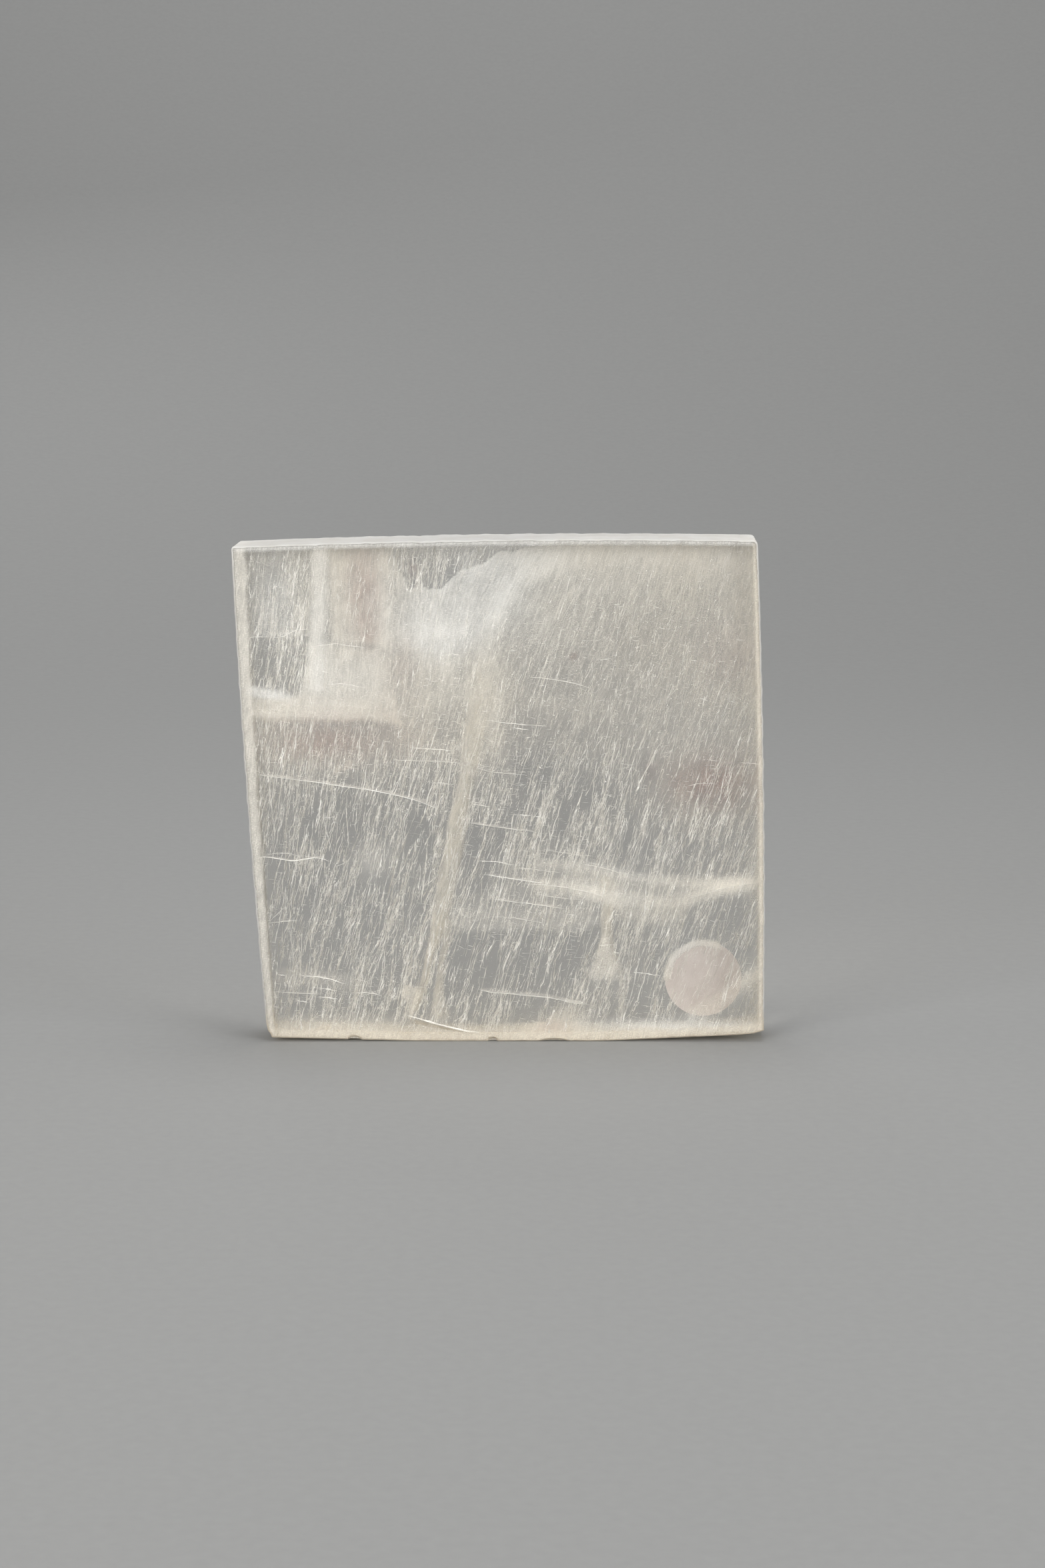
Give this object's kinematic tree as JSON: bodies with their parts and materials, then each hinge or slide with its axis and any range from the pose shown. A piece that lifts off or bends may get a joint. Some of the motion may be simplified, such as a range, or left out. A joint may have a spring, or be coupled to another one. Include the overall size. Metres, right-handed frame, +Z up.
{
  "type": "selenite slab",
  "caption": "Clear flat slab of selenite crystal with sawn edges that stands on its bottom edge, with a small blank round paper label on its back.",
  "frame": {"origin": "centre of the bounding box's bottom, on the surface that the slab stands on", "axes": "+Z up, +X to the right along the slab's width as seen from its front, +Y from the front face to the back face"},
  "size_m": [0.1299, 0.0122, 0.1248],
  "materials": {
    "selenite": "clear crystal with polished faces and frosted sawn sides",
    "label_paper": "matt"
  },
  "bodies": {
    "root": {"selenite_slab": "selenite", "round_label": "label_paper"}
  },
  "joints": []
}
